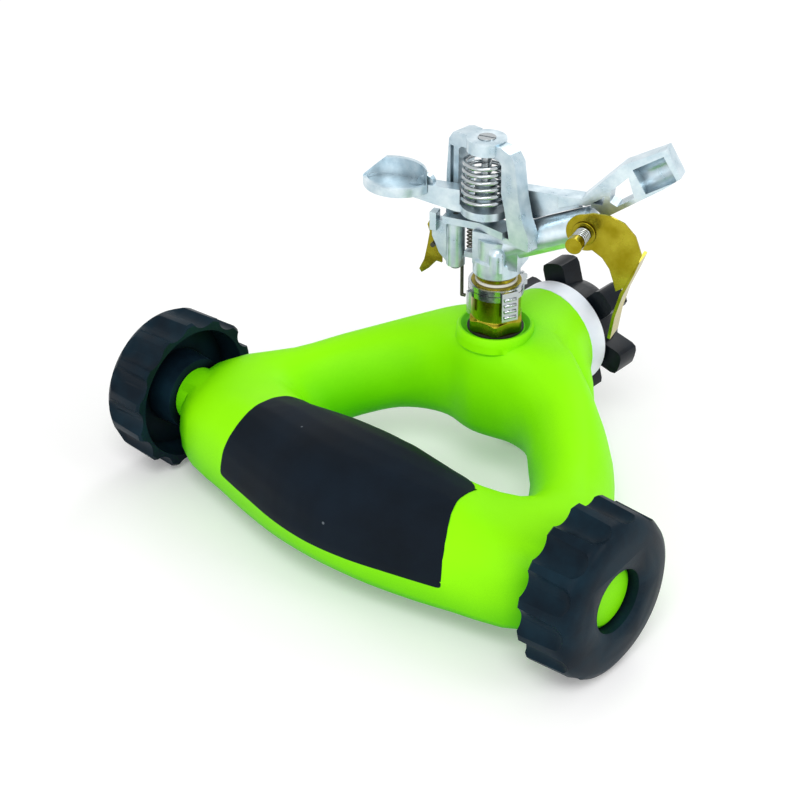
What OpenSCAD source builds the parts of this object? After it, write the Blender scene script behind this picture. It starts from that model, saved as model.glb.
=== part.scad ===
// Impact sprinkler on a two-wheeled base with a carrying handle.
// X runs across the wheels, Y from the handle to the hose inlet, Z up.
// Z = 0 is the ground under the wheels and the rear foot.

/* [Base] */
// Height of the handle's crest
handle_top = 55; // [50:1:60]
// Depth of the handle from the opening to its front
handle_depth = 58; // [52:1:62]
// Height of the boss round the bearing
boss_top = 69.5; // [67:0.5:71]
// Distance between the ends of the base that face the wheels
base_w = 193.8; // [188:0.2:198]
// Distance from the wheels' axle to the sprinkler's own axis
head_y = 76; // [73:1:79]
// Depth of the rubber grip panel in the handle
grip_t = 2.2; // [1.6:0.2:3]
// Half width of the grip panel at its lower edge
grip_half_w = 57; // [50:1:60]

/* [Wheels] */
// Radius over the crests of the tread
wheel_r = 32.5; // [31:0.5:34]
// Width of a wheel
wheel_w = 22; // [19:0.5:24]
// Number of grooves in the tread
groove_count = 14; // [12:1:16]
// Radius of a groove
groove_r = 7.2; // [6:0.2:8]
// Depth of a groove
groove_depth = 3.4; // [2:0.2:4]
// Radius of the stub axle
axle_r = 9; // [7:0.5:10]
// Radius of the hole that shows the hub
hub_hole_r = 12.5; // [12:0.5:14]

/* [Inlet] */
// Height of the inlet's axis
inlet_z = 46; // [44:1:47]
// Radius of the barrel that holds the inlet
barrel_r = 22.9; // [22:0.1:24]
// Distance from the sprinkler's axis to the end of the barrel
barrel_l = 36; // [34:1:38]
// Width of the silver ring
ring_w = 9.3; // [7:0.1:10]
// Radius of the hose thread, 3/4 inch garden hose
hose_thread_r = 13; // [12.5:0.1:13.4]
// Length of the hose thread
hose_thread_l = 8.5; // [8:0.5:12]
// Radius over the lobes of the swivel nut
lobe_tip_r = 29.5; // [28:0.5:30]

/* [Bearing] */
// Distance across the flats of the hexagon
hex_af = 20.6; // [19:0.2:22]
// Radius of the nipple above the hexagon
nipple_r = 10; // [9.6:0.1:10.2]
// Depth of the bearing seat in the boss
seat_depth = 1.6; // [1:0.1:2]
// Radius of the bearing stem
stem_r = 6; // [5.5:0.1:6.4]
// Radius of the water way
water_r = 4.2; // [3.5:0.1:4.6]

/* [Sprinkler head] */
// Heading of the nozzle, from +X towards +Y
heading = 17; // [0:1:90]
// Rise of the nozzle above the horizontal
nozzle_rise = 24; // [22:1:26]
// Radius of the nozzle barrel
nozzle_r = 6.9; // [6.4:0.1:7.2]
// Radius of the jet opening
jet_r = 2.2; // [1.5:0.1:3]
// Height of the underside of the body
body_z = 92.6; // [92:0.2:94]
// Distance from the head's axis to the fulcrum pin
pin_offset = 5; // [4.5:0.5:5.5]
// Height of the top of the bridge
bridge_top = 148.5; // [147:0.5:150]
// Depth of the bridge's legs
leg_depth = 6; // [5:0.5:6.5]
// Height of the underside of the impact arm
arm_z = 123.4; // [122.4:0.2:124]
// Height of the arm's bars
arm_h = 5.6; // [5:0.2:6]

/* [Springs] */
// Radius of the arm spring's coil
arm_coil_r = 9.3; // [9:0.1:9.4]
// Radius of the arm spring's wire
arm_wire_r = 0.7; // [0.6:0.05:0.8]
// Curls of the arm spring
arm_curls = 6.5; // [5:0.5:7]

/* [Fits] */
// Radial clearance of a running fit
run_fit = 0.06; // [0.03:0.01:0.1]
// Gap between pieces that move past each other
gap = 0.3; // [0.25:0.05:0.5]

/* [Hidden] */
$fn = 48;
tiny = 0.01;

// Outline of the base, seen from above, in polar form about the middle of its opening.
// Each list runs from the rear (0 degrees) to the front (180 degrees) in equal steps.
hole_y = 38;
key_step = 15;
hub_x = base_w / 2;
end_x = hub_x - 0.9;
handle_in = 18;
handle_out = handle_in + handle_depth - 1.5;
outer_keys = [61, 61, 62.5, 65.5, 70.5, 77, 87.5, 107, 106, 88, 78.6, 75.2, handle_out];
inner_keys = [22, 24, 29, 33.3, 36.8, 40.7, 48.5, 54, 34.5, 25, 20.6, 18.7, handle_in];
top_keys = [
    boss_top - 1, boss_top - 1.8, boss_top - 4.8, boss_top - 9.6, boss_top - 14.2, 51.5, 48, 46.8,
    handle_top - 8, handle_top - 4.5, handle_top - 2.5, handle_top - 1, handle_top - 0.5
];
bottom_keys = [22, 22, 21.6, 20.8, 20, 18.6, 16, 12.5, 10, 8.8, 8, 7.6, 7.5];
waist_share = 0.4;
top_powers = [5, 5, 4, 3, 2.5, 2.4, 2.3, 2.7, 3, 2.6, 2.5, 2.5, 2.5];
low_powers = [5, 5, 4, 3, 2.5, 2.5, 3.2, 4, 5, 5.4, 4.6, 3.6, 3.2];
outer_tapers = [0, 0.06, 0.12, 0.18, 0.24, 0.25, 0.25, 0.1, 0.02, 0.08, 0.1, 0.1, 0.1];
inner_tapers = [0, 0, 0.06, 0.12, 0.2, 0.26, 0.32, 0.36, 0.36, 0.22, 0.1, 0.1, 0.1];
ring_steps = 72;
ring_sides = 24;

function key_at(keys, i) = keys[min(len(keys) - 1, abs(i > len(keys) - 1 ? 2 * (len(keys) - 1) - i : i))];
function blend_keys(keys, a) =
    let (s = a / key_step, i = floor(s), t = s - i,
        p0 = key_at(keys, i - 1), p1 = key_at(keys, i), p2 = key_at(keys, i + 1), p3 = key_at(keys, i + 2))
    p1 + 0.5 * t * (p2 - p0 + t * (2 * p0 - 5 * p1 + 4 * p2 - p3 + t * (3 * (p1 - p2) + p3 - p0)));
function power_of(v, power) = sign(v) * pow(abs(v), 2 / power);
function ring_point(turn, v, inset) =
    let (a = turn > 180 ? 360 - turn : turn, power = blend_keys(v < 180 ? top_powers : low_powers, a),
        c = power_of(cos(v), power), s = power_of(sin(v), power),
        r0 = blend_keys(inner_keys, a) + inset, r1 = blend_keys(outer_keys, a) - inset,
        zt = blend_keys(top_keys, a) - inset, zb = blend_keys(bottom_keys, a) + inset,
        zm = zb + waist_share * (zt - zb), half = (r1 - r0) / 2, up = max(0, s),
        taper = blend_keys(c < 0 ? inner_tapers : outer_tapers, a) * up,
        r = (r0 + r1) / 2 + half * c * (1 - taper),
        z = zm + (s > 0 ? zt - zm : zm - zb) * s)
    [r * sin(turn), hole_y + r * cos(turn), z];
function ring_points(inset) = [for (i = [0:ring_steps - 1]) for (j = [0:ring_sides - 1])
    ring_point(i * 360 / ring_steps, j * 360 / ring_sides, inset)];
ring_faces = [for (i = [0:ring_steps - 1]) for (j = [0:ring_sides - 1])
    let (i2 = (i + 1) % ring_steps, j2 = (j + 1) % ring_sides,
        a = i * ring_sides + j, b = i2 * ring_sides + j, c = i2 * ring_sides + j2, d = i * ring_sides + j2)
    for (f = [[a, b, c], [a, c, d]]) f];

// The part stands with the middle of its outline at the origin.
base_front = min([for (p = ring_points(0)) p[1]]);
barrel_end = head_y + barrel_l;
ring_end = barrel_end + gap + ring_w;
nut_front = ring_end + gap;
nut_neck_l = 2.5;
flange_t = 2;
washer_t = 2.6;
chamber_l = flange_t + washer_t + gap;
nut_l = nut_neck_l + chamber_l + hose_thread_l;
nut_rear = nut_front + nut_l;
axle_y = -(base_front + nut_rear) / 2;

// Wheels
wheel_in = hub_x + gap;
cap_t = 3.2;
wheel_web = wheel_w * 0.62;
cap_in = wheel_in + wheel_web;
socket_l = 12;

// Inlet
elbow_r = 12;
pipe_bore_r = 7.5;
shank_r = 9;
chamber_r = hose_thread_r + 0.6;
nut_r = barrel_r - 2.4;
ring_r = barrel_r;

// Bearing
seat_z = boss_top - seat_depth;
nipple_seal_t = 0.8;
hex_z = seat_z + nipple_seal_t;
hex_h = 5.8;
hex_top = hex_z + hex_h;
nipple_top = hex_top + 15;
nipple_thread_r = 9;
nipple_thread_l = 12;
collar_t = 1.1;
seal_t = 1.1;
collar_h = 2.3;
collar_z = nipple_top - 2 * collar_h - gap - 0.3;
stem_flange_r = 8.4;
stem_bottom = seat_z - nipple_thread_l - 4;
hex_turn = 8.5;
boss_r = 16;

// Head, in its own axes: x along the nozzle's heading, y to its left, z up
nozzle_z = body_z + 11.4;
nozzle_len = 40 / cos(nozzle_rise);
tip_l = 8;
deck_z = nozzle_z + 8;
drum_r = 9.5;
bore_top = nozzle_z;
bridge_t = 5.5;
window_top = bridge_top - bridge_t;
leg_near = leg_depth / 2;
leg_inner_x = 10.6;
pin_r = 2;
hub_r = 8.4;
hub_z = arm_z - 5.4;
hub_top = hub_z + 3.2;
arm_turn = 3;
arm_top = arm_z + arm_h;
screw_x = 38.5;
screw_z = nozzle_z + screw_x * tan(nozzle_rise);
plate_y = -(nozzle_r + 1.1);
plate_t = 0.9;
hammer_x = -17.6;
hammer_pin_r = 1.2;
knuckle_r = 3.8;
hammer_bottom = 92.5;
hammer_top = deck_z - 0.4 - gap;
lever_y = 3;
lever_t = 1;
lever_x = -26.5;
lever_z = 100;

module base_place() {
    translate([0, axle_y, 0]) children();
}

module head_place() {
    translate([0, axle_y + head_y, 0]) rotate([0, 0, heading]) children();
}

// Turns a shape drawn in x and z, extruded along y, upright
module upright(y, t) {
    translate([0, y + t / 2, 0]) rotate([90, 0, 0]) linear_extrude(t) children();
}

module tube(r_out, r_in, h) {
    difference() {
        cylinder(r = r_out, h = h);
        translate([0, 0, -1]) cylinder(r = r_in, h = h + 2);
    }
}

// Points of a coil about z, then the faces of a tube of six sides along them
coil_sides = 6;
rings_per_curl = 8;
function coil_path(r0, r1, z0, z1, curls) = let (n = round(curls * rings_per_curl))
    [for (i = [0:n]) let (t = i / n, r = r0 + (r1 - r0) * t, a = 360 * curls * t)
        [r * cos(a), r * sin(a), z0 + (z1 - z0) * t]];
function coil_skin(path, wire_r) = [for (i = [0:len(path) - 1])
    let (p = path[i], a = atan2(p[1], p[0]), q = path[min(i + 1, len(path) - 1)], o = path[max(i - 1, 0)],
        d = q - o, t = d / norm(d), u = [cos(a), sin(a), 0], w = cross(t, u))
    for (k = [0:coil_sides - 1]) p + wire_r * (cos(k * 60) * u + sin(k * 60) * w)];
function coil_gap(path, wire_r) = let (n = len(path)) min([for (i = [0:n - 1])
    for (j = [i + rings_per_curl / 2:1:n - 1]) norm(path[i] - path[j])]) - 2 * wire_r;
module coil(path, wire_r) {
    n = len(path);
    start = [for (k = [coil_sides - 1:-1:0]) k];
    end = [for (k = [0:coil_sides - 1]) (n - 1) * coil_sides + k];
    start_faces = [for (k = [1:coil_sides - 2]) [start[0], start[k], start[k + 1]]];
    end_faces = [for (k = [1:coil_sides - 2]) [end[0], end[k], end[k + 1]]];
    side_faces = [for (i = [0:n - 2]) for (k = [0:coil_sides - 1])
        let (k2 = (k + 1) % coil_sides, a = i * coil_sides + k, b = i * coil_sides + k2,
            c = (i + 1) * coil_sides + k2, d = (i + 1) * coil_sides + k)
        for (f = [[a, b, c], [a, c, d]]) f];
    polyhedron(points = coil_skin(path, wire_r), faces = concat(start_faces, side_faces, end_faces));
}

module ring_shell(inset) {
    polyhedron(points = ring_points(inset), faces = ring_faces);
}

// The neck widens from the round barrel into the shoulders beside the bearing boss.
// Each row: distance behind the sprinkler's axis, half width, waist, top and bottom.
neck_rows = [
    [-6, 20, 40, boss_top - 3, 26], [0, 33, 36, boss_top - 1, 23], [6, 40, 35, boss_top - 0.4, 22],
    [13, 41, 36, boss_top - 0.2, 21.6], [20, 36, 39, boss_top, 21.8],
    [26, 30, 42, boss_top - 0.2, 22], [32, barrel_r + 2, 45, boss_top - 0.5, 22.4],
    [barrel_l, barrel_r, inlet_z, inlet_z + barrel_r, inlet_z - barrel_r]
];
neck_sides = 28;
function neck_ring(row) = [for (k = [0:neck_sides - 1]) let (a = k * 360 / neck_sides)
    [row[1] * cos(a), row[0], row[2] + (sin(a) > 0 ? row[3] - row[2] : row[2] - row[4]) * sin(a)]];
module neck() {
    n = len(neck_rows);
    points = [for (row = neck_rows) each neck_ring(row)];
    sides = [for (i = [0:n - 2]) for (k = [0:neck_sides - 1])
        let (k2 = (k + 1) % neck_sides, a = i * neck_sides + k, b = i * neck_sides + k2,
            c = (i + 1) * neck_sides + k2, d = (i + 1) * neck_sides + k)
        for (f = [[a, b, c], [a, c, d]]) f];
    front = [for (k = [1:neck_sides - 2]) [0, k + 1, k]];
    rear = [for (k = [1:neck_sides - 2]) [0, k, k + 1] + (n - 1) * neck_sides * [1, 1, 1]];
    translate([0, head_y, 0]) polyhedron(points = points, faces = concat(front, sides, rear));
}

// Space that the grip panel takes up, seen from the front
grip_edge_y = 4.5;
grip_outline = [
    [grip_half_w, 23], [grip_half_w - 1, 31], [grip_half_w - 2.5, 38], [grip_half_w - 5, 45],
    [grip_half_w - 10, 51], [grip_half_w - 12, 70]
];
module grip_space() {
    right = [for (p = grip_outline) p];
    left = [for (i = [len(grip_outline) - 1:-1:0]) [-grip_outline[i][0], grip_outline[i][1]]];
    low = [[-grip_half_w / 2, 25], [0, 25.6], [grip_half_w / 2, 25]];
    translate([0, grip_edge_y, 0]) rotate([90, 0, 0]) linear_extrude(80) polygon(concat(low, right, left));
}

module hub_ends() {
    for (side = [-1, 1]) {
        translate([side * (hub_x - 16), 0, wheel_r]) rotate([0, side * 90, 0])
            cylinder(r = 11.5, h = 16);
    }
}

module base_body() {
    color("greenyellow") base_place() difference() {
        union() {
            intersection() {
                ring_shell(0);
                translate([-end_x, -100, 0]) cube([2 * end_x, 300, 100]);
            }
            neck();
            hub_ends();
            translate([0, head_y, 0]) rotate_extrude() polygon([
                [0, boss_top - 16], [boss_r - 7, boss_top - 16], [boss_r, boss_top - 6],
                [boss_r - 0.4, boss_top - 1], [boss_r - 1.2, boss_top], [0, boss_top]
            ]);
            translate([0, head_y + barrel_l - 9, 0]) leg();
        }
        difference() {
            grip_space();
            ring_shell(grip_t);
        }
        elbow_solid();
        translate([0, head_y, 0]) rotate_extrude() polygon([
            [0, seat_z], [boss_r - 4, seat_z], [boss_r - 2, boss_top], [boss_r - 2, boss_top + 4],
            [0, boss_top + 4]
        ]);
        for (side = [-1, 1]) {
            translate([side * (hub_x - socket_l), 0, wheel_r]) rotate([0, side * 90, 0])
                cylinder(r = axle_r + 0.05, h = socket_l + 2);
        }
    }
}

// Leg under the barrel, down to the rear foot
leg_w = 20;
leg_d = 11;
foot_t = 3;
module leg() {
    leg_top = inlet_z - elbow_r - 4;
    translate([-leg_w / 2, -leg_d / 2, foot_t]) cube([leg_w, leg_d, leg_top - foot_t]);
}

module grip_panel() {
    color("#1c242c") base_place() difference() {
        intersection() {
            grip_space();
            ring_shell(0);
        }
        ring_shell(grip_t);
    }
}

module rear_foot() {
    color("#20242a") base_place() translate([0, head_y + barrel_l - 9, 0])
        translate([-leg_w / 2 - 1, -leg_d / 2 - 1, 0]) cube([leg_w + 2, leg_d + 2, foot_t]);
}

// Wheel about x, its inner face at x = 0
module wheel_solid() {
    difference() {
        rotate([0, 90, 0]) rotate_extrude($fn = 96) polygon([
            [axle_r + run_fit, 0], [15, 0], [16, 12], [26, 12], [27.5, 0.6], [wheel_r - 1, 0],
            [wheel_r, 1], [wheel_r - 0.8, wheel_w - 4.6], [wheel_r - 2, wheel_w - 2.4],
            [wheel_r - 5, wheel_w - 0.7], [wheel_r - 10, wheel_w], [hub_hole_r + 3, wheel_w],
            [hub_hole_r, wheel_w - 1.2], [hub_hole_r, wheel_web - gap], [axle_r + run_fit, wheel_web - gap]
        ]);
        for (i = [0:groove_count - 1]) {
            rotate([(i + 0.5) * 360 / groove_count, 0, 0])
                translate([-1, 0, -(wheel_r + groove_r - groove_depth)]) {
                rotate([0, 90, 0]) cylinder(r = groove_r, h = wheel_w - 5.5, $fn = 32);
                translate([wheel_w - 5.5, 0, 0]) sphere(r = groove_r, $fn = 32);
            }
        }
    }
}

module right_wheel() {
    color("#232b33") base_place() translate([wheel_in, 0, wheel_r]) wheel_solid();
}

module left_wheel() {
    color("#232b33") base_place() translate([-wheel_in, 0, wheel_r]) mirror([1, 0, 0]) wheel_solid();
}

// Axle with its head in the wheel's hole, pressed into the base's socket
module axle_solid() {
    shank_l = cap_in - hub_x + socket_l - 0.2;
    rotate([0, 90, 0]) rotate_extrude() polygon([
        [0, -shank_l], [axle_r - 0.6, -shank_l], [axle_r, 0.6 - shank_l], [axle_r, 0],
        [hub_hole_r - gap, 0], [hub_hole_r - gap, cap_t - 0.6], [hub_hole_r - 1.4, cap_t], [0, cap_t]
    ]);
}

module right_axle() {
    color("greenyellow") base_place() translate([cap_in, 0, wheel_r]) axle_solid();
}

module left_axle() {
    color("greenyellow") base_place() translate([-cap_in, 0, wheel_r]) mirror([1, 0, 0]) axle_solid();
}

module along_inlet(y) {
    translate([0, y, inlet_z]) rotate([-90, 0, 0]) children();
}

module elbow_solid() {
    along_inlet(head_y - 8) cylinder(r = elbow_r, h = 8 + barrel_l);
    translate([0, head_y, inlet_z]) cylinder(r = elbow_r - 0.7, h = seat_z - inlet_z - 2);
    translate([0, head_y, seat_z - 2.5]) cylinder(r = nipple_thread_r + 0.4, h = 4);
}

module water_elbow() {
    color("#b8b06a") base_place() difference() {
        union() {
            along_inlet(head_y - 8) cylinder(r = elbow_r, h = 8 + barrel_l);
            translate([0, head_y, inlet_z]) cylinder(r = elbow_r - 0.7, h = seat_z - inlet_z - 2);
        }
        along_inlet(head_y - 6) cylinder(r = pipe_bore_r, h = barrel_l + 10);
        along_inlet(head_y + barrel_l - 12) cylinder(r = shank_r, h = 20);
        translate([0, head_y, inlet_z]) cylinder(r = nipple_thread_r, h = 30);
    }
}

module collar_ring() {
    color("#cdd8e8") base_place() along_inlet(barrel_end) rotate_extrude($fn = 64) polygon([
        [shank_r, 0], [barrel_r + 0.2, 0], [ring_r, 0.8], [ring_r, gap + ring_w - 0.8],
        [ring_r - 0.8, gap + ring_w], [shank_r, gap + ring_w]
    ]);
}

tail_start = barrel_end - 12;
flange_y = nut_front + nut_neck_l + gap / 2;
module inlet_tailpiece() {
    color("#c9a93c") base_place() along_inlet(tail_start) rotate_extrude() polygon([
        [pipe_bore_r - 1, 0], [shank_r, 0], [shank_r, flange_y - tail_start],
        [chamber_r - gap, flange_y - tail_start], [chamber_r - gap, flange_y + flange_t - tail_start],
        [pipe_bore_r - 1, flange_y + flange_t - tail_start]
    ]);
}

module hose_washer() {
    color("#15181b") base_place() along_inlet(flange_y + flange_t)
        tube(chamber_r - gap, pipe_bore_r - 1, washer_t);
}

lobe_count = 6;
lobe_turn = 16;
module swivel_nut() {
    color("#1a1d20") base_place() along_inlet(nut_front) difference() {
        union() {
            rotate_extrude($fn = 64) polygon([
                [0, 0], [nut_r - 1, 0], [nut_r, 1], [nut_r - 0.4, nut_l / 2], [nut_r - 2.6, nut_l - 1.4],
                [nut_r - 4, nut_l], [0, nut_l]
            ]);
            for (i = [0:lobe_count - 1]) {
                rotate([0, 0, -90 - lobe_turn + i * 360 / lobe_count])
                    translate([nut_r - 6, -lobe_w / 2, 1.4]) lobe();
            }
        }
        translate([0, 0, -1]) cylinder(r = shank_r + run_fit, h = nut_neck_l + 2);
        translate([0, 0, nut_neck_l]) cylinder(r = chamber_r, h = chamber_l);
        translate([0, 0, nut_neck_l + chamber_l - tiny]) cylinder(r = hose_thread_r, h = nut_l);
    }
}

// One lobe of the nut, rounded on its outer corners
lobe_w = 11;
lobe_len = 11;
module lobe() {
    reach = lobe_tip_r - nut_r + 6;
    linear_extrude(lobe_len) polygon([
        [0, 0], [reach - 3, 0], [reach - 1, 0.7], [reach - 0.2, 2.4], [reach, lobe_w / 2],
        [reach - 0.2, lobe_w - 2.4], [reach - 1, lobe_w - 0.7], [reach - 3, lobe_w], [0, lobe_w]
    ]);
}

module nipple_seal() {
    color("#202020") head_place() translate([0, 0, seat_z]) tube(11.4, nipple_thread_r, nipple_seal_t);
}

module bearing_nipple() {
    color("#c8aa2c") head_place() rotate([0, 0, hex_turn - heading]) difference() {
        union() {
            cylinder_from(seat_z - nipple_thread_l, seat_z + 1, nipple_thread_r);
            translate([0, 0, hex_z]) intersection() {
                cylinder(r = hex_af / sqrt(3), h = hex_h, $fn = 6);
                rotate_extrude($fn = 64) polygon([
                    [0, 0], [hex_af / 2 + 1, 0], [hex_af / 2 + 1.2, hex_h - 1.2],
                    [hex_af / 2 - 0.6, hex_h], [0, hex_h]
                ]);
            }
            cylinder_from(hex_top - 1, nipple_top, nipple_r);
        }
        cylinder_from(stem_bottom - 10, nipple_top + 1, stem_r + run_fit);
    }
}

module cylinder_from(z0, z1, r) {
    translate([0, 0, z0]) cylinder(r = r, h = z1 - z0);
}

ear_turn = 51;
lower_tab_turn = 228;
upper_tab_turn = -42;

// A friction collar: a split band with a pair of finger ears and a hanging tab
module collar_solid(z, tab_l, tab_w, tab_turn) {
    band_r = nipple_r + run_fit;
    tab_r = band_r + collar_t + gap;
    difference() {
        union() {
            cylinder_from(z, z + collar_h, band_r + collar_t);
            rotate([0, 0, ear_turn]) translate([band_r - 1, -1.8, z + 0.2]) cube([4.1, 3.6, collar_h - 0.4]);
            rotate([0, 0, tab_turn]) upright(0, tab_w) polygon([
                [band_r - 1, z + 0.2], [tab_r, z + 0.2], [tab_r, z - tab_l], [tab_r + collar_t, z - tab_l],
                [tab_r + collar_t, z + collar_h - 0.2], [band_r - 1, z + collar_h - 0.2]
            ]);
        }
        cylinder_from(z - 1, z + collar_h + 1, band_r);
        rotate([0, 0, ear_turn]) translate([band_r - 2, -0.5, z - 1]) cube([8, 1, collar_h + 2]);
    }
}

module lower_trip_collar() {
    color("#c9ced3") head_place() collar_solid(collar_z, 7.5, 2, lower_tab_turn);
}

module upper_trip_collar() {
    color("#d6dade") head_place() collar_solid(collar_z + collar_h + gap, 10.5, 7, upper_tab_turn);
}

module bearing_stem() {
    color("#c8aa2c") head_place() difference() {
        union() {
            cylinder_from(stem_bottom, body_z + 7, stem_r);
            cylinder_from(stem_bottom, stem_bottom + 1.6, stem_flange_r);
            cylinder_from(nipple_top + seal_t, body_z - 0.02, stem_flange_r - 0.4);
        }
        cylinder_from(stem_bottom - 1, body_z + 8, water_r);
    }
}

module thrust_washer() {
    color("white") head_place() translate([0, 0, seat_z - nipple_thread_l - 1.1])
        tube(stem_flange_r, stem_r + run_fit, 1);
}

module stem_seal() {
    color("white") head_place() translate([0, 0, nipple_top + 0.05])
        tube(stem_flange_r, stem_r + run_fit, seal_t - 0.1);
}

module on_nozzle(s) {
    translate([0, 0, nozzle_z]) rotate([0, 90 - nozzle_rise, 0]) translate([0, 0, s]) children();
}

// The bridge stands turned from the nozzle, so that the arm passes in front of one leg and
// behind the other. Its outline is drawn from the fulcrum pin outwards.
bridge_turn = 21;
module bridge_place() {
    translate([-pin_offset, 0, 0]) rotate([0, 0, -bridge_turn]) children();
}

module bridge_profile() {
    top = bridge_top;
    difference() {
        polygon([
            [-18.7, deck_z], [-18.4, arm_top], [-17.2, top - 4], [-15, top - 0.8], [-12.5, top],
            [10, top], [14.6, top - 1.2], [17.2, top - 4.4], [19.4, arm_top + 1], [21.6, arm_z - 1.4],
            [25, deck_z + 3.5], [25, deck_z - 2], [-2, deck_z - 3], [-2.6, deck_z]
        ]);
        polygon([
            [-12.2, deck_z], [-11.9, window_top - 1.4], [-10.5, window_top], [9, window_top],
            [10.4, window_top - 1.4], [leg_inner_x, arm_top + 1], [12.8, arm_z - 1.4], [15, deck_z]
        ]);
    }
}

module sprinkler_body() {
    color("#b4c5cc") head_place() difference() {
        union() {
            rotate_extrude() polygon([
                [0, body_z], [drum_r - 0.8, body_z], [drum_r, body_z + 0.8], [drum_r, body_z + 6.6],
                [drum_r - 1.2, body_z + 7.4], [drum_r - 1.2, deck_z - 3.4], [0, deck_z - 3.4]
            ]);
            translate([2.5, -6.2, body_z + 4]) cylinder_dome(3.6, 10.5);
            bridge_place() upright(0, leg_depth) bridge_profile();
            bridge_place() intersection() {
                upright(leg_near, leg_depth) bridge_profile();
                translate([-30, -10, 90]) cube([22, 20, 80]);
            }
            bridge_place() translate([-17, -4.5, deck_z - 0.4]) cube([30, 9, 3]);
            translate([-pin_offset, 0, 0]) cylinder_from(deck_z - 6, hub_z - 1.2, 4.2);
            translate([-pin_offset, 0, 0]) cylinder_from(window_top + 1, bridge_top + 0.6, 7.8);
            translate([-21.5, -4.5, deck_z - 0.4]) cube([16, 9, 3]);
            translate([-8, -6.2, body_z + 5]) cube([19, 12.4, deck_z - body_z - 5.5]);
            translate([-13.4, -1.4, body_z + 4.4]) cube([8, 4.4, 2.4]);
            on_nozzle(4) cylinder(r = nozzle_r, h = nozzle_len - tip_l - 4);
        }
        cylinder_from(body_z - 1, body_z + 7, stem_r);
        cylinder_from(body_z, bore_top, water_r);
        on_nozzle(0) cylinder(r = water_r - 0.6, h = nozzle_len);
        on_nozzle(nozzle_len - tip_l - 6) cylinder(r = nozzle_r - 1.6, h = 20);
        translate([-pin_offset, 0, 0]) cylinder_from(deck_z - 3, bridge_top + 1, pin_r);
        translate([-pin_offset, 0, 0]) cylinder_from(bridge_top - 0.6, bridge_top + 1, 3.6);
        bridge_place() translate([-16.4, -leg_near - 1, deck_z + 6]) cube([1.8, 2.4, 24]);
        translate([hammer_x, 0, 0]) cylinder_from(deck_z - 2, deck_z + 4, hammer_pin_r);
    }
}

// Upright half round boss with a domed top
module cylinder_dome(r, h) {
    cylinder(r = r, h = h - r);
    translate([0, 0, h - r]) sphere(r = r);
}

module nozzle_tip() {
    color("#c4ced4") head_place() on_nozzle(nozzle_len - tip_l) difference() {
        union() {
            translate([0, 0, -6]) cylinder(r = nozzle_r - 1.6, h = 7);
            cylinder(r = nozzle_r, h = tip_l - 1);
            translate([0, 0, tip_l - 1]) cylinder(r1 = nozzle_r, r2 = nozzle_r - 1.5, h = 1);
        }
        translate([0, 0, -7]) cylinder(r1 = water_r, r2 = jet_r, h = 11);
        translate([0, 0, 3]) cylinder(r = jet_r, h = 10);
        screw_hole(2 + run_fit);
    }
}

// Hole for the diffuser screw, seen from the nozzle tip's own place
module screw_hole(r) {
    translate([0, 0, (screw_x / cos(nozzle_rise)) - nozzle_len + tip_l]) rotate([90, 0, 0])
        cylinder(r = r, h = 20);
}

module fulcrum_pin() {
    color("#d7dde0") head_place() translate([-pin_offset, 0, 0]) difference() {
        union() {
            cylinder_from(deck_z - 3, bridge_top, pin_r);
            cylinder_from(bridge_top - 0.6, bridge_top + 1, 3.5);
        }
        translate([-4, -0.45, bridge_top + 0.4]) cube([8, 0.9, 2]);
    }
}

// Leaf outline of the counterweight: two arcs that meet in points
module leaf(half_l, half_w) {
    r = (half_l * half_l + half_w * half_w) / (2 * half_w);
    intersection() {
        translate([0, r - half_w]) circle(r = r, $fn = 96);
        translate([0, half_w - r]) circle(r = r, $fn = 96);
    }
}

weight_x = -36;
weight_y = -5;
module counterweight() {
    translate([weight_x, weight_y, arm_z + 0.6]) {
        difference() {
            linear_extrude(3.7) leaf(13.5, 8.6);
            translate([0, 0, 2.6]) linear_extrude(4) leaf(11.9, 7);
        }
        difference() {
            linear_extrude(10) leaf(13.5, 8.6);
            translate([0, -1.9, -1]) linear_extrude(12) leaf(14.1, 8.8);
            translate([-14, -12, 3.4]) rotate([0, -40, 0]) cube([20, 24, 20]);
        }
    }
}

// The spoon in side view: two rails, a cross bar and the end wall
module spoon_side() {
    polygon([
        [30, arm_z + 2.4], [38, arm_z + 5.2], [44, arm_z + 4.8], [48.6, arm_z + 1.4], [70.6, arm_z + 17],
        [76.6, arm_z + 22.2], [70.4, arm_z + 32.8], [54.4, arm_z + 24], [39, arm_z + 7.6], [30, arm_z + 7.4]
    ]);
}

module spoon_window() {
    polygon([[43.4, arm_z + 6.6], [47.2, arm_z + 6.4], [48, arm_z + 10]]);
    polygon([
        [50.4, arm_z + 12.8], [50.2, arm_z + 8.2], [53, arm_z + 6.8], [59.4, arm_z + 11.4],
        [56.8, arm_z + 19.4]
    ]);
}

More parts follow.
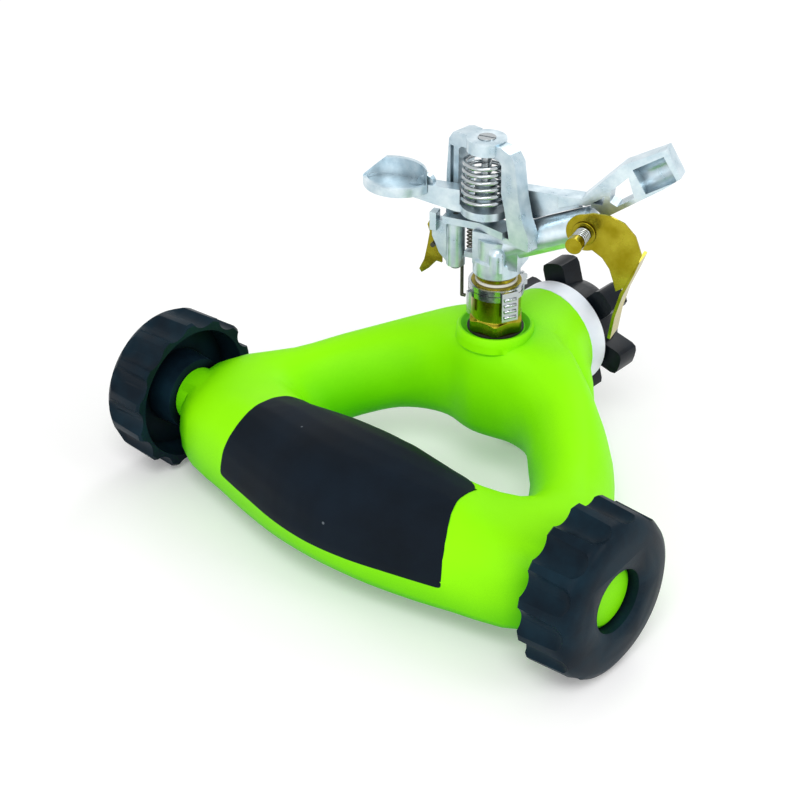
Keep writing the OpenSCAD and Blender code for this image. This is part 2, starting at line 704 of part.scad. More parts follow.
spring_room_r = arm_coil_r + arm_wire_r + gap;
module impact_arm() {
    color("#b9c9cf") head_place() difference() {
        translate([-pin_offset, 0, 0]) rotate([0, 0, arm_turn]) union() {
            cylinder_from(hub_z, hub_top, arm_coil_r + 0.6);
            cylinder_from(hub_z, arm_top + 1.6, 4.4);
            difference() {
                union() {
                    upright(-1.6, 5.8) polygon([
                        [-30, arm_z - 2], [-30, arm_z + 4], [0, arm_z + 4], [0, hub_z], [-11, hub_z]
                    ]);
                    upright(0.6, 5.6) polygon([
                        [0, hub_z], [0, arm_z + 7.4], [38, arm_z + 7.4], [38, arm_z - 1.2], [12, hub_z]
                    ]);
                }
                cylinder_from(hub_top, bridge_top, spring_room_r);
                cylinder_from(hub_z - 4, hub_z, hub_r);
            }
            translate([-24, -1.6, arm_top - 1.6]) upright(0, 3) circle(r = 3.4);
            counterweight();
            difference() {
                upright(spoon_y, spoon_w) spoon_side();
                upright(spoon_y, 2 * spoon_w) spoon_window();
                spoon_trough();
            }
        }
        translate([-pin_offset, 0, 0]) cylinder_from(hub_z - 1, arm_top + 4, pin_r + run_fit);
        on_nozzle(0) cylinder(r = nozzle_r + 0.8, h = nozzle_len + 1);
        bridge_place() translate([leg_inner_x - gap, 0, hub_z - 4])
            cube([14, leg_depth / 2 + gap, bridge_top - hub_z]);
    }
}

// The curved vane that the jet strikes is the floor of a trough between the rails
spoon_y = 0.6;
spoon_w = 7;
module spoon_trough() {
    translate([66.4, spoon_y - spoon_w / 2, arm_z + 21.6]) rotate([0, 58, 0]) translate([0, 0, -6.4])
        cylinder(r = 5.3, h = 13.4);
}

spring_low = hub_top + arm_wire_r + 0.2;
spring_high = window_top - 1.2;
arm_coil = coil_path(arm_coil_r, arm_coil_r - 0.9, spring_low, spring_high, arm_curls);
module arm_spring() {
    color("#e4e8ea") head_place() translate([-pin_offset, 0, 0]) coil(arm_coil, arm_wire_r);
}
echo(arm_spring_gap = coil_gap(arm_coil, arm_wire_r));

module arm_washer() {
    color("#f0f2f2") head_place() translate([-pin_offset, 0, hub_z - 1.1]) tube(5.4, pin_r + run_fit, 1);
}

module reverse_hammer() {
    color("#aebdc4") head_place() difference() {
        union() {
            translate([hammer_x, 0, 0]) cylinder_from(hammer_bottom, hammer_top, knuckle_r);
            upright(0, 4) polygon([
                [hammer_x, hammer_bottom], [hammer_x - 3, hammer_bottom + 1], [-24, 97], [-27, 104],
                [-27, hammer_top], [hammer_x, hammer_top]
            ]);
            translate([-27.2, -4, hammer_top - 4]) cube([2.8, 4.4, 7.8]);
        }
        translate([hammer_x, 0, 0]) cylinder_from(hammer_bottom - 1, hammer_top + 1, hammer_pin_r + run_fit);
        translate([wire_x, 0, 0]) cylinder_from(hammer_bottom - 1, hammer_bottom + 5.2, wire_r + 0.02);
        translate([lever_x, 0, lever_z]) rotate([90, 0, 0]) cylinder(r = 1, h = 20, center = true);
    }
}

module hammer_pin() {
    color("#8d969b") head_place() translate([hammer_x, 0, 0]) {
        cylinder_from(hammer_bottom - 1, deck_z + 2.4, hammer_pin_r);
        cylinder_from(hammer_bottom - 1.4, hammer_bottom - gap, 1.9);
    }
}

trip_coil = coil_path(1.6, 1.6, body_z + 7.3, deck_z - 0.85, 7);
module trip_spring() {
    color("#3a3f43") head_place() translate([-11.3, 1, 0]) coil(trip_coil, 0.35);
}
echo(trip_spring_gap = coil_gap(trip_coil, 0.35));

wire_r = 0.7;
wire_x = hammer_x + 2.85;
module trip_wire() {
    color("#2b2a20") head_place() translate([wire_x, 0, 0]) {
        cylinder_from(79, hammer_bottom + 5, wire_r);
        translate([0, 0, 79]) sphere(r = wire_r);
        translate([0, 0, 79]) rotate([0, 90, 0]) cylinder(r = wire_r, h = 1.5);
    }
}

module trip_lever() {
    color("#d0b24a") head_place() difference() {
        upright(lever_y, lever_t) polygon([
            [-24.6, 90], [-27, 90.4], [-30.4, 86.4], [-33.6, 83.8], [-34.6, 85.4], [-32.4, 90.2],
            [-31, 97], [-30, 103], [-31, 106], [-29.6, 109], [-27.6, 108], [-26.6, 104], [-24.4, 101]
        ]);
        translate([lever_x, 0, lever_z]) rotate([90, 0, 0]) cylinder(r = 1 + run_fit, h = 20, center = true);
    }
}

module lever_pin() {
    color("#57534a") head_place() translate([lever_x, -2.6, lever_z]) rotate([-90, 0, 0]) {
        cylinder(r = 1, h = 7);
        translate([0, 0, 6.4]) cylinder(r = 1.7, h = 0.8);
    }
}

// Brass deflector: a crescent cheek on the screw and the tongue bent from its outer edge
module deflector() {
    color("#c9b22c") head_place() difference() {
        union() {
            upright(plate_y, plate_t) {
                translate([screw_x, screw_z]) circle(r = 7.4);
                polygon([
                    [38, 128.6], [41.5, 129.8], [48, 130], [54, 128], [58.6, 123.4], [61.4, 116],
                    [59, 110], [55, 101], [52, 99], [50.8, 103], [49, 108], [46, 112], [42, 114.4],
                    [38, 114.6]
                ]);
            }
            upright(plate_y + 4.6, 9.6) polygon([
                [60.7, 113], [59.5, 113.3], [57.6, 108], [53.6, 98], [51, 88], [49.6, 78], [50.8, 77.6],
                [52.2, 87.6], [54.8, 97.4], [58.8, 107.4]
            ]);
        }
        translate([screw_x, 0, screw_z]) rotate([90, 0, 0]) cylinder(r = 2 + run_fit, h = 30, center = true);
    }
}

module deflector_washer() {
    color("#c9b22c") head_place() translate([screw_x, plate_y - plate_t / 2 - 0.1, screw_z])
        rotate([90, 0, 0]) tube(4.6, 2 + run_fit, 0.8);
}

knob_y = plate_y - 9;
module diffuser_screw() {
    color("#c7a33a") head_place() translate([screw_x, 0, screw_z]) rotate([90, 0, 0]) {
        cylinder_from(jet_r + 0.3, -knob_y, 2);
        cylinder_from(-knob_y, -knob_y + 3.6, 3.3);
    }
}

screw_coil = coil_path(2.7, 2.7, 0.6, 6.4, 4.5);
module diffuser_spring() {
    color("#d9dfe2") head_place() translate([screw_x, plate_y - plate_t / 2 - 1, screw_z])
        rotate([90, 0, 0]) coil(screw_coil, 0.4);
}
echo(diffuser_spring_gap = coil_gap(screw_coil, 0.4));

base_body();
grip_panel();
rear_foot();
left_wheel();
right_wheel();
left_axle();
right_axle();
water_elbow();
collar_ring();
inlet_tailpiece();
swivel_nut();
hose_washer();
nipple_seal();
bearing_nipple();
lower_trip_collar();
upper_trip_collar();
bearing_stem();
thrust_washer();
stem_seal();
sprinkler_body();
nozzle_tip();
fulcrum_pin();
impact_arm();
arm_spring();
arm_washer();
reverse_hammer();
hammer_pin();
trip_spring();
trip_wire();
trip_lever();
lever_pin();
deflector();
deflector_washer();
diffuser_screw();
diffuser_spring();
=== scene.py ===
import math

import bmesh
import bpy
from mathutils import Matrix, Vector
from mathutils.bvhtree import BVHTree


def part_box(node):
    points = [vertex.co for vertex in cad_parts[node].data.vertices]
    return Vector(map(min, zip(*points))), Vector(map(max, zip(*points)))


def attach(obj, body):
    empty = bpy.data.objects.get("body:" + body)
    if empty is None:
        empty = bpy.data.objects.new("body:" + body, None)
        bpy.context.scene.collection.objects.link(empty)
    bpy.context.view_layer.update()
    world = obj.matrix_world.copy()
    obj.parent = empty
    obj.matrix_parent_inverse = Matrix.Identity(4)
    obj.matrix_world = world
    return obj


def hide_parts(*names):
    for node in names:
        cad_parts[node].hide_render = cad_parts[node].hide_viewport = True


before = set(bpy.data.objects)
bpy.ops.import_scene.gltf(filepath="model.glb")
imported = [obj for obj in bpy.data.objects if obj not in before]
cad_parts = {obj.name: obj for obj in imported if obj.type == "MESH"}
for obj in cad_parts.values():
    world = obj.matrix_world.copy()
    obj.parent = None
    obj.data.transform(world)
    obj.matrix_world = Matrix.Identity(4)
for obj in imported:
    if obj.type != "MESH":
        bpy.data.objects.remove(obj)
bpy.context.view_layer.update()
scene = bpy.context.scene

# Camera
# It looks down on the handle from the front right, as the photograph does. The place was worked out
# from the wheels' rims, and is given from the middle of the wheels' axle.
axle_low, axle_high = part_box("left_wheel")
axle_y = (axle_low.y + axle_high.y) / 2
camera_place = Vector((0.423347, -0.457256 + axle_y, 0.452977))
camera_right = Vector((0.7498909, 0.66151476, -0.0078656))
camera_up = Vector((-0.34254541, 0.39842499, 0.85083498))
camera_back = camera_right.cross(camera_up)
camera_data = bpy.data.cameras.new("camera")
camera_data.lens = 87.47
camera_data.sensor_width = 36
camera_data.clip_start = 0.05
camera_data.clip_end = 20
camera = bpy.data.objects.new("camera", camera_data)
camera_turn = Matrix((camera_right, camera_up, camera_back)).transposed().to_4x4()
camera.matrix_world = Matrix.Translation(camera_place) @ camera_turn
scene.collection.objects.link(camera)
scene.camera = camera
scene.view_settings.view_transform = "Standard"


# Floor and daylight
# A seamless white table under the sprinkler, a pale sky over it and four soft lamps. Sky and table are
# plain white only where the camera, a reflection or clear plastic sees them, and shine less on the sprinkler.
class Socket:
    """A socket of a node tree. Sums and products of sockets become Math nodes."""

    def __init__(self, tree, out):
        self.tree = tree
        self.out = out

    def make(self, kind, settings=None, values=None, output=0):
        node = self.tree.nodes.new(kind)
        for key, value in (settings or {}).items():
            setattr(node, key, value)
        for key, value in (values or {}).items():
            if isinstance(value, Socket):
                self.tree.links.new(value.out, node.inputs[key])
            else:
                node.inputs[key].default_value = value
        return Socket(self.tree, node.outputs[output])

    def maths(self, operation, first, second=0.0):
        return self.make("ShaderNodeMath", {"operation": operation}, {0: first, 1: second})

    def __add__(self, other):
        return self.maths("ADD", self, other)

    def __mul__(self, other):
        return self.maths("MULTIPLY", self, other)

    def __rsub__(self, other):
        return self.maths("SUBTRACT", other, self)

    __radd__ = __add__
    __rmul__ = __mul__


def hex_colour(code):
    """A colour written in six hexadecimal digits, as the linear values that a shader takes."""
    parts = [int(code[i : i + 2], 16) / 255 for i in (0, 2, 4)]
    return tuple(p / 12.92 if p <= 0.04045 else ((p + 0.055) / 1.055) ** 2.4 for p in parts)


world = bpy.data.worlds.new("pale_sky")
world.use_nodes = True
scene.world = world
background = world.node_tree.nodes["Background"]
background.inputs["Color"].default_value = (1, 1, 1, 1)
sky_level = 0.6


def seen_plainly(tree):
    """1 for rays of the camera, a reflection or clear plastic, and 0 for those that light a surface."""
    rays = tree.nodes.new("ShaderNodeLightPath")
    camera_ray, glossy_ray, clear_ray = (
        Socket(tree, rays.outputs[name]) for name in ("Is Camera Ray", "Is Glossy Ray", "Is Transmission Ray")
    )
    return camera_ray.maths("MAXIMUM", camera_ray.maths("MAXIMUM", camera_ray, glossy_ray), clear_ray)


plain_sky = seen_plainly(world.node_tree)
world.node_tree.links.new((plain_sky * (1 - sky_level) + sky_level).out, background.inputs["Strength"])

table_half = 6
table_mesh = bmesh.new()
bmesh.ops.create_grid(table_mesh, x_segments=1, y_segments=1, size=table_half)
table_data = bpy.data.meshes.new("table")
table_mesh.to_mesh(table_data)
table_mesh.free()
table = bpy.data.objects.new("table", table_data)
scene.collection.objects.link(table)
table_finish = bpy.data.materials.new("white_table")
table_finish.use_nodes = True
table_shader = table_finish.node_tree.nodes["Principled BSDF"]
table_shader.inputs["Base Color"].default_value = (0.9, 0.9, 0.9, 1)
table_shader.inputs["Roughness"].default_value = 0.9
table_shader.inputs["Specular IOR Level"].default_value = 0.0
table_tree = table_finish.node_tree
table_seen = seen_plainly(table_tree)
table_place = Socket(table_tree, table_tree.nodes.new("ShaderNodeTexCoord").outputs["Object"])
table_reach = table_place.make("ShaderNodeVectorMath", {"operation": "LENGTH"}, {0: table_place}, output=1)
# The lamps hardly reach the far table, so it glows most there, and a third as much near the sprinkler.
near_reach, far_reach = 0.35, 1.6
near_share, far_share = 0.34, 1.0
table_share = table_reach.make(
    "ShaderNodeMapRange", {"clamp": True},
    {0: table_reach, 1: near_reach, 2: far_reach, 3: near_share, 4: far_share},
)
table_glow = table_seen.make(
    "ShaderNodeMix", {"data_type": "RGBA"},
    {0: table_seen * table_share, 6: (0, 0, 0, 1), 7: (1, 1, 1, 1)}, output=2,
)
table_tree.links.new(table_glow.out, table_shader.inputs["Emission Color"])
table_shader.inputs["Emission Strength"].default_value = 0.5
table_data.materials.append(table_finish)


def add_lamp(name, place, target, size, watts):
    data = bpy.data.lights.new(name, "AREA")
    data.shape = "DISK"
    data.size = size
    data.energy = watts
    lamp = bpy.data.objects.new(name, data)
    lamp.location = place
    lamp.rotation_euler = (Vector(target) - Vector(place)).to_track_quat("-Z", "Y").to_euler()
    scene.collection.objects.link(lamp)


add_lamp("key_softbox", (0.6, -0.75, 1.3), (0, 0, 0.04), 0.7, 8.2)
add_lamp("side_softbox", (1.3, 0.3, 0.8), (0, 0, 0.06), 0.6, 4)
add_lamp("rear_softbox", (-0.3, 1.2, 1.0), (0, 0, 0.08), 0.7, 4)
add_lamp("front_fill", (0.25, -1.3, 0.4), (0, 0, 0.04), 0.8, 3.2)


# Base
# One moulded ring of lime green plastic with the bearing boss and the inlet barrel in one piece. Its
# skin has the fine dull grain of the mould, and painted shade makes it a little deeper in colour in its
# hollows.
def new_finish(name, colour, roughness, metallic=0.0, specular=0.5):
    """A finish with its flat values. It comes with the shader's sockets and the piece's own coordinates."""
    finish = bpy.data.materials.new(name)
    finish.use_nodes = True
    finish.diffuse_color = (*colour, 1)
    tree = finish.node_tree
    shader = tree.nodes["Principled BSDF"]
    shader.inputs["Base Color"].default_value = (*colour, 1)
    shader.inputs["Roughness"].default_value = roughness
    shader.inputs["Metallic"].default_value = metallic
    shader.inputs["Specular IOR Level"].default_value = specular
    place = Socket(tree, tree.nodes.new("ShaderNodeTexCoord").outputs["Object"])
    return finish, shader.inputs, place


def plug(value, socket):
    value.tree.links.new(value.out, socket)


def cloud(place, scale, detail=4.0, roughness=0.55):
    """A soft noise on the piece's own coordinates."""
    return place.make(
        "ShaderNodeTexNoise", None,
        {"Vector": place, "Scale": scale, "Detail": detail, "Roughness": roughness},
    )


def tint(mask, low, high):
    """The first colour where the mask is 0 and the second where it is 1. The first may be a socket."""
    first = low if isinstance(low, Socket) else (*low, 1)
    return mask.make("ShaderNodeMix", {"data_type": "RGBA"}, {0: mask, 6: first, 7: (*high, 1)}, output=2)


def spread(mask, low, high):
    """The part of a soft pattern between two levels, stretched from 0 to 1."""
    return mask.make("ShaderNodeMapRange", {"clamp": True}, {0: mask, 1: low, 2: high, 3: 0.0, 4: 1.0})


def relief(height, strength, distance, inputs):
    bump = height.make("ShaderNodeBump", None, {"Strength": strength, "Distance": distance, "Height": height})
    plug(bump, inputs["Normal"])


def painted_shade_mask(place, reach, low, high):
    """1 in corners and hollows that little light reaches, and 0 on open faces. Colours darkened by it carry
    painted shade.
    """
    open_share = place.make("ShaderNodeAmbientOcclusion", {"samples": 6}, {"Distance": reach}, output=1)
    return 1 - spread(open_share, low, high)


def dress(node, finish):
    """Gives a CAD node its finish."""
    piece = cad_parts[node]
    piece.data.materials.clear()
    piece.data.materials.append(finish)


def skin(node, body, finish, sharp, rounding=0.0):
    """A joined copy that stands for a CAD node. Its faces shade smoothly up to a sharp edge, and
    the sharp edges can be rounded off."""
    shape = bmesh.new()
    shape.from_mesh(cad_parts[node].data)
    bmesh.ops.remove_doubles(shape, verts=shape.verts, dist=0.00001)
    if rounding:
        bmesh.ops.dissolve_limit(shape, angle_limit=math.radians(0.6), verts=shape.verts, edges=shape.edges)
    for face in shape.faces:
        face.smooth = True
    for edge in shape.edges:
        edge.smooth = len(edge.link_faces) == 2 and edge.calc_face_angle() < math.radians(sharp)
    data = bpy.data.meshes.new(node + "_skin")
    shape.to_mesh(data)
    shape.free()
    data.materials.append(finish)
    piece = bpy.data.objects.new(node + "_skin", data)
    scene.collection.objects.link(piece)
    if rounding:
        soften = piece.modifiers.new("soft_edges", "BEVEL")
        soften.width = rounding
        soften.segments = 3
        soften.limit_method = "ANGLE"
        soften.angle_limit = math.radians(sharp)
        soften.harden_normals = True
    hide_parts(node)
    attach(piece, body)
    return piece


lime, lime_in, lime_place = new_finish("lime_moulded_plastic", hex_colour("92f600"), 0.5, specular=0.1)
lime_cloud = cloud(lime_place, 18)
lime_grain = cloud(lime_place, 2600, 3)
# Painted shade: the green turns deeper, towards 35b400, in the hollows that ambient occlusion finds.
lime_painted_shade = painted_shade_mask(lime_place, 0.05, 0.4, 0.88)
lime_open = tint(spread(lime_cloud, 0.3, 0.7), hex_colour("8ef200"), hex_colour("98fa00"))
plug(tint(lime_painted_shade * 0.85, lime_open, hex_colour("35b400")), lime_in["Base Color"])
plug(spread(lime_grain, 0.2, 0.8) * 0.1 + 0.45, lime_in["Roughness"])
relief(lime_grain, 0.2, 0.0001, lime_in)
skin("base_body", "base", lime, 38)
for node in ("left_axle", "right_axle"):
    dress(node, lime)

# Grip panel
# Soft blue-black rubber moulded over the front and the crest of the handle. It is plain, with a few
# specks of dust. A fine grid is laid on the handle's outer skin row by row, then thickened inwards.
grip, grip_in, grip_place = new_finish("grip_rubber", hex_colour("10161d"), 0.6, specular=0.07)
grip_cloud = cloud(grip_place, 40)
grip_cells = grip_place.make("ShaderNodeTexVoronoi", None, {"Vector": grip_place, "Scale": 90.0})
grip_specks = spread(grip_cells, 0.062, 0.042)
grip_plain = tint(spread(grip_cloud, 0.3, 0.75), hex_colour("0b131b"), hex_colour("121d28"))
plug(tint(grip_specks * 0.35, grip_plain, hex_colour("9aa4ad")), grip_in["Base Color"])
plug(spread(grip_cloud, 0.2, 0.8) * 0.12 + 0.52, grip_in["Roughness"])
relief(cloud(grip_place, 3000, 2), 0.25, 0.0001, grip_in)
dress("rear_foot", grip)

handle = bmesh.new()
for node in ("base_body", "grip_panel"):
    handle.from_mesh(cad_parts[node].data)
handle_skin = BVHTree.FromBMesh(handle)
handle.free()
handle_middle = Vector((0, axle_y - 0.006, 0.032))
cast_from = 0.1
level_row_drop = 0.0004
proud_low, proud_crest, crest_turn = 0.0001, 0.0004, 60
# Each row is a turn round the handle in degrees, with the panel's reach in mm to the left and to the
# right. A turn below 0 stands for a level row on the front, one level_row_drop lower for each degree.
panel_reach = (
    (-23.5, 57.3, 57.8), (0, 56.3, 57.3), (18, 54.9, 56.9), (33, 53.5, 56.0), (46, 52.5, 54.9),
    (60, 51.9, 53.2), (75, 51.7, 51.6), (90, 51.6, 50.3), (110, 51.6, 49.9), (119, 51.3, 49.8),
    (124, 50.9, 49.0), (129, 50.2, 46.8), (135, 48.4, 43.2), (141, 44.6, 38.0),
)
panel = bmesh.new()
bmesh.ops.create_grid(panel, x_segments=116, y_segments=64, size=1)
first_turn, last_turn = panel_reach[0][0], panel_reach[-1][0]
for vert in panel.verts:
    across, climb = (vert.co.x + 1) / 2, (vert.co.y + 1) / 2
    turn = first_turn + climb * (last_turn - first_turn)
    lower, upper = next((a, b) for a, b in zip(panel_reach, panel_reach[1:]) if turn <= b[0] + 1e-6)
    share = (turn - lower[0]) / (upper[0] - lower[0])
    left, right = (lower[side] + share * (upper[side] - lower[side]) for side in (1, 2))
    angle = math.radians(max(turn, 0))
    inward = Vector((0, math.cos(angle), -math.sin(angle)))
    aside = (across * (left + right) - left) / 1000
    start = handle_middle + Vector((aside, 0, min(turn, 0) * level_row_drop))
    hit = handle_skin.ray_cast(start - inward * cast_from, inward)[0]
    proud = proud_low + (proud_crest - proud_low) * min(max(turn, 0) / crest_turn, 1)
    vert.co = hit - inward * proud
inside = [vert for vert in panel.verts if not vert.is_boundary]
for _ in range(3):
    bmesh.ops.smooth_vert(panel, verts=inside, factor=0.5, use_axis_x=True, use_axis_y=True, use_axis_z=True)
rim = [vert for vert in panel.verts if vert.is_boundary]
for _ in range(4):
    means = {}
    for vert in rim:
        beside = [edge.other_vert(vert).co for edge in vert.link_edges if edge.is_boundary]
        means[vert] = sum(beside, Vector()) / 2
    for vert, mean in means.items():
        vert.co = vert.co.lerp(mean, 0.5)
for face in panel.faces:
    face.smooth = True
bmesh.ops.recalc_face_normals(panel, faces=panel.faces)
if sum(face.normal.y for face in panel.faces) > 0:
    bmesh.ops.reverse_faces(panel, faces=panel.faces)
panel_data = bpy.data.meshes.new("grip_cover")
panel.to_mesh(panel_data)
panel.free()
panel_data.materials.append(grip)
grip_cover = bpy.data.objects.new("grip_cover", panel_data)
scene.collection.objects.link(grip_cover)
thicken = grip_cover.modifiers.new("thickness", "SOLIDIFY")
thicken.thickness = 0.0011
thicken.offset = -1
soften = grip_cover.modifiers.new("soft_rim", "BEVEL")
soften.width = 0.0003
soften.segments = 3
soften.limit_method = "ANGLE"
soften.angle_limit = math.radians(50)
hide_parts("grip_panel")
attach(grip_cover, "base")

# Wheels
# Two moulded wheels of blue-black plastic with round grooves in the tread, turning on plastic axles.
wheel, wheel_in, wheel_place = new_finish("wheel_plastic", hex_colour("0d1319"), 0.4, specular=0.07)
wheel_cloud = cloud(wheel_place, 70)
# Painted shade: grooves and hollows of the wheels are darkened towards near black.
wheel_painted_shade = painted_shade_mask(wheel_place, 0.004, 0.35, 0.9)
wheel_open = tint(spread(wheel_cloud, 0.35, 0.7), hex_colour("0c1923"), hex_colour("122834"))
plug(tint(wheel_painted_shade, wheel_open, hex_colour("05080b")), wheel_in["Base Color"])
plug(spread(wheel_cloud, 0.2, 0.8) * 0.14 + 0.32, wheel_in["Roughness"])
relief(cloud(wheel_place, 1800, 3), 0.22, 0.00012, wheel_in)
for node in ("left_wheel", "right_wheel"):
    skin(node, node, wheel, 32, 0.0007)

# Silver ring
# A satin ring pressed over the end of the inlet barrel, turned with very fine lines round it.
ring, ring_in, ring_place = new_finish("satin_ring", hex_colour("e2eaf4"), 0.5, metallic=0.1)
ring_cloud = cloud(ring_place, 60)
plug(tint(spread(ring_cloud, 0.3, 0.7), hex_colour("e0e9f4"), hex_colour("f4f8fd")), ring_in["Base Color"])
relief(cloud(ring_place, 900, 2), 0.1, 0.0001, ring_in)
skin("collar_ring", "base", ring, 30, 0.0004)

# Hose nut, washers and inner water parts
# The lobed swivel nut is moulded in black plastic and takes the hose. Behind it sit a rubber washer
# and the brass tailpiece, and a brass elbow leads up to the bearing.
nut, nut_in, nut_place = new_finish("nut_plastic", hex_colour("0b1016"), 0.34, specular=0.12)
nut_cloud = cloud(nut_place, 90)
plug(tint(spread(nut_cloud, 0.35, 0.7), hex_colour("0a0f15"), hex_colour("131b23")), nut_in["Base Color"])
plug(spread(nut_cloud, 0.2, 0.8) * 0.15 + 0.25, nut_in["Roughness"])
relief(cloud(nut_place, 1600, 3), 0.2, 0.00012, nut_in)
skin("swivel_nut", "hose_nut", nut, 32, 0.0006)
seal, seal_in, seal_place = new_finish("seal_rubber", hex_colour("141517"), 0.7)
relief(cloud(seal_place, 2400, 2), 0.3, 0.0001, seal_in)
for node in ("hose_washer", "nipple_seal"):
    dress(node, seal)

# Brass parts
# The nipple is turned from hexagon bar, the deflector and the trip lever are pressed from sheet.
brass, brass_in, brass_place = new_finish("yellow_brass", hex_colour("b9a52c"), 0.24, metallic=1.0)
brass_cloud = cloud(brass_place, 130, 5)
brass_spots = cloud(brass_place, 700, 4)
# Painted shade: corners and hollows of the brass darken towards a deep olive.
brass_painted_shade = painted_shade_mask(brass_place, 0.006, 0.35, 0.9)
brass_unshaded = tint(spread(brass_cloud, 0.35, 0.7), hex_colour("8e8216"), hex_colour("b2a632"))
plug(tint(brass_painted_shade * 0.8, brass_unshaded, hex_colour("54480c")), brass_in["Base Color"])
plug(spread(brass_cloud, 0.25, 0.75) * 0.16 + 0.16, brass_in["Roughness"])
relief(brass_spots, 0.12, 0.0001, brass_in)
for node, body in (
    ("bearing_nipple", "base"), ("bearing_stem", "head"), ("trip_lever", "lever"),
    ("deflector", "deflector"), ("deflector_washer", "screw"), ("diffuser_screw", "screw"),
):
    skin(node, body, brass, 30, 0.0002)
for node in ("water_elbow", "inlet_tailpiece"):
    dress(node, brass)

# Zinc castings
# Body, arm, hammer and nozzle tip are die cast in zinc and tumbled, so their skin is satin and
# slightly uneven and bright where it rubbed. Painted shade makes them darker in the corners.
zinc, zinc_in, zinc_place = new_finish("tumbled_zinc", hex_colour("b6c8d1"), 0.3, metallic=0.85)
zinc_cloud = cloud(zinc_place, 160, 5)
zinc_skin = cloud(zinc_place, 900, 4)
# Painted shade: corners and hollows of the zinc darken towards slate grey.
zinc_painted_shade = painted_shade_mask(zinc_place, 0.008, 0.15, 0.85)
zinc_open = tint(spread(zinc_cloud, 0.3, 0.72), hex_colour("b2c8d3"), hex_colour("dfebf1"))
plug(tint(zinc_painted_shade * 0.75, zinc_open, hex_colour("4c5d66")), zinc_in["Base Color"])
plug(spread(zinc_cloud, 0.2, 0.8) * 0.2 + 0.22, zinc_in["Roughness"])
relief(zinc_skin, 0.25, 0.00018, zinc_in)
for node, body in (
    ("sprinkler_body", "head"), ("impact_arm", "arm"), ("reverse_hammer", "hammer"), ("nozzle_tip", "head"),
):
    skin(node, body, zinc, 28, 0.0006)

# Steel pins and collars
# The fulcrum pin and the two friction collars are bright steel, the trip wire and small pins dark.
steel, steel_in, steel_place = new_finish("bright_steel", hex_colour("b4babd"), 0.2, metallic=1.0)
plug(spread(cloud(steel_place, 300, 3), 0.3, 0.7) * 0.14 + 0.14, steel_in["Roughness"])
relief(cloud(steel_place, 1200, 2), 0.1, 0.0001, steel_in)
for node, body in (
    ("fulcrum_pin", "head"), ("lower_trip_collar", "lower_collar"), ("upper_trip_collar", "upper_collar"),
):
    skin(node, body, steel, 30, 0.0002)
dark, dark_in, dark_place = new_finish("dark_steel", hex_colour("4f4e46"), 0.34, metallic=0.9)
plug(spread(cloud(dark_place, 300, 3), 0.3, 0.7) * 0.2 + 0.24, dark_in["Roughness"])
for node, body in (("hammer_pin", "head"), ("trip_wire", "hammer"), ("lever_pin", "hammer")):
    skin(node, body, dark, 40)

# Four round ribs stand half out of the upper collar's tab, for the thumb that turns it.
tab_turn = math.radians(-25)
tab_face = 0.01258
rib_radius, rib_length = 0.00065, 0.0052
rib_low, rib_step = 0.0782, 0.0026
on_its_side = Matrix.Rotation(math.pi / 2, 3, "X")
rib_shape = bmesh.new()
for level in range(4):
    rib = bmesh.ops.create_cone(
        rib_shape, cap_ends=True, segments=20, radius1=rib_radius, radius2=rib_radius, depth=rib_length
    )
    bmesh.ops.rotate(rib_shape, verts=rib["verts"], cent=(0, 0, 0), matrix=on_its_side)
    bmesh.ops.translate(rib_shape, verts=rib["verts"], vec=(tab_face, 0, rib_low + rib_step * level))
for face in rib_shape.faces:
    face.smooth = len(face.verts) == 4
nipple_low, nipple_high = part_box("bearing_nipple")
head_axis = (nipple_low + nipple_high) / 2
bmesh.ops.rotate(rib_shape, verts=rib_shape.verts, cent=(0, 0, 0), matrix=Matrix.Rotation(tab_turn, 3, "Z"))
bmesh.ops.translate(rib_shape, verts=rib_shape.verts, vec=(head_axis.x, head_axis.y, 0))
rib_data = bpy.data.meshes.new("tab_ribs")
rib_shape.to_mesh(rib_data)
rib_shape.free()
rib_data.materials.append(steel)
tab_ribs = bpy.data.objects.new("tab_ribs", rib_data)
scene.collection.objects.link(tab_ribs)
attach(tab_ribs, "upper_collar")

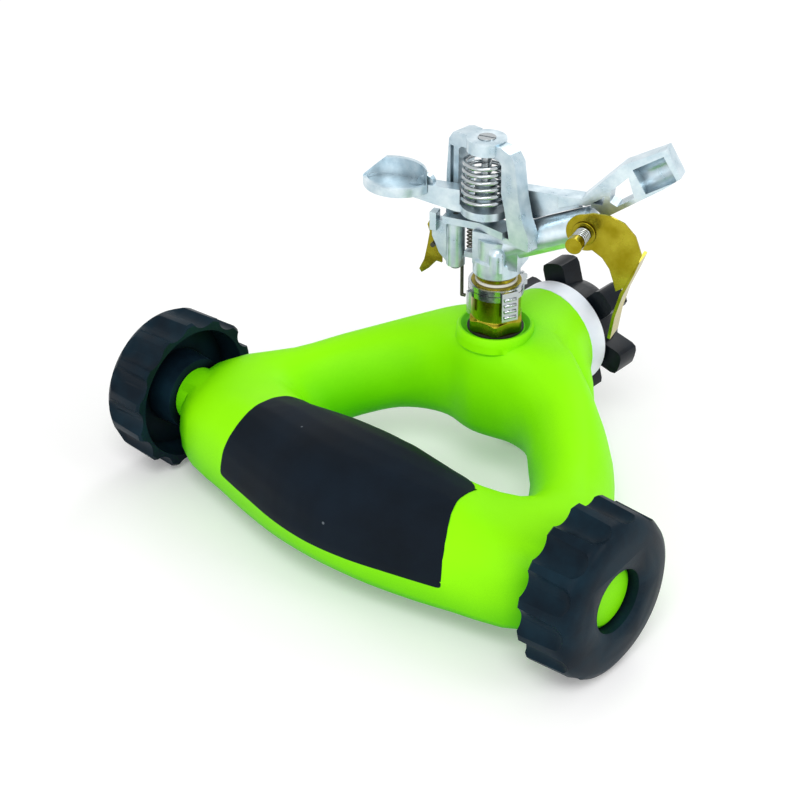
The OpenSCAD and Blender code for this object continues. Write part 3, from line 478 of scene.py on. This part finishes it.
# Springs
# The arm spring is an open coil of bright wire under the bridge. A small dark coil holds the trip, and
# another bright one presses on the diffuser screw.
def wind(node, body, finish, radii, wire, curls, middle, length, lie):
    """A round wire wound round the line lie through middle. The radii are those of its two ends."""
    steps_per_curl = 28
    steps = round(curls * steps_per_curl)
    coil = bmesh.new()
    bmesh.ops.create_circle(coil, cap_ends=False, radius=wire, segments=10)
    bmesh.ops.rotate(coil, verts=coil.verts, cent=(0, 0, 0), matrix=on_its_side)
    bmesh.ops.translate(coil, verts=coil.verts, vec=(radii[0], 0, -length / 2))
    bmesh.ops.spin(
        coil, geom=coil.verts[:] + coil.edges[:], cent=(0, 0, 0), axis=(0, 0, 1), dvec=(0, 0, length / steps),
        angle=2 * math.pi * curls, steps=steps, use_merge=False,
    )
    for vert in coil.verts:
        share = vert.co.z / length + 0.5
        flat = Vector((vert.co.x, vert.co.y, 0))
        vert.co += flat.normalized() * (radii[1] - radii[0]) * share
    bmesh.ops.holes_fill(coil, edges=[edge for edge in coil.edges if edge.is_boundary], sides=0)
    bmesh.ops.recalc_face_normals(coil, faces=coil.faces)
    turn = Vector((0, 0, 1)).rotation_difference(lie).to_matrix()
    bmesh.ops.rotate(coil, verts=coil.verts, cent=(0, 0, 0), matrix=turn)
    bmesh.ops.translate(coil, verts=coil.verts, vec=middle)
    for face in coil.faces:
        face.smooth = True
    data = bpy.data.meshes.new(node + "_wire")
    coil.to_mesh(data)
    coil.free()
    data.materials.append(finish)
    piece = bpy.data.objects.new(node + "_wire", data)
    scene.collection.objects.link(piece)
    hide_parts(node)
    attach(piece, body)


upright = Vector((0, 0, 1))
low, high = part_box("arm_spring")
pin_low, pin_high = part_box("fulcrum_pin")
pin_middle = (pin_low + pin_high) / 2
arm_middle = Vector((pin_middle.x, pin_middle.y, (low.z + high.z) / 2))
arm_wire, arm_curls = 0.0009, 6.5
arm_radii = (0.0093, 0.0084)
arm_length = high.z - low.z - 2 * arm_wire
wind("arm_spring", "head", steel, arm_radii, arm_wire, arm_curls, arm_middle, arm_length, upright)

low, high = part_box("trip_spring")
trip_wire, trip_curls = 0.00035, 7
trip_radii = (0.0016, 0.0016)
trip_length = high.z - low.z - 2 * trip_wire
wind("trip_spring", "head", dark, trip_radii, trip_wire, trip_curls, (low + high) / 2, trip_length, upright)

low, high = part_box("diffuser_spring")
screw_heading = math.radians(17)
screw_line = Vector((math.sin(screw_heading), -math.cos(screw_heading), 0))
screw_wire, screw_curls, screw_length = 0.0004, 4.5, 0.0058
screw_radii = (0.0027, 0.0027)
wind(
    "diffuser_spring", "screw", steel, screw_radii, screw_wire, screw_curls,
    (low + high) / 2, screw_length, screw_line,
)

# Plastic washers
# White low-friction plastic round the stem and under the arm.
white, white_in, white_place = new_finish("white_washer", hex_colour("e6e6e0"), 0.4)
relief(cloud(white_place, 1500, 2), 0.15, 0.0001, white_in)
for node in ("thrust_washer", "stem_seal", "arm_washer"):
    dress(node, white)
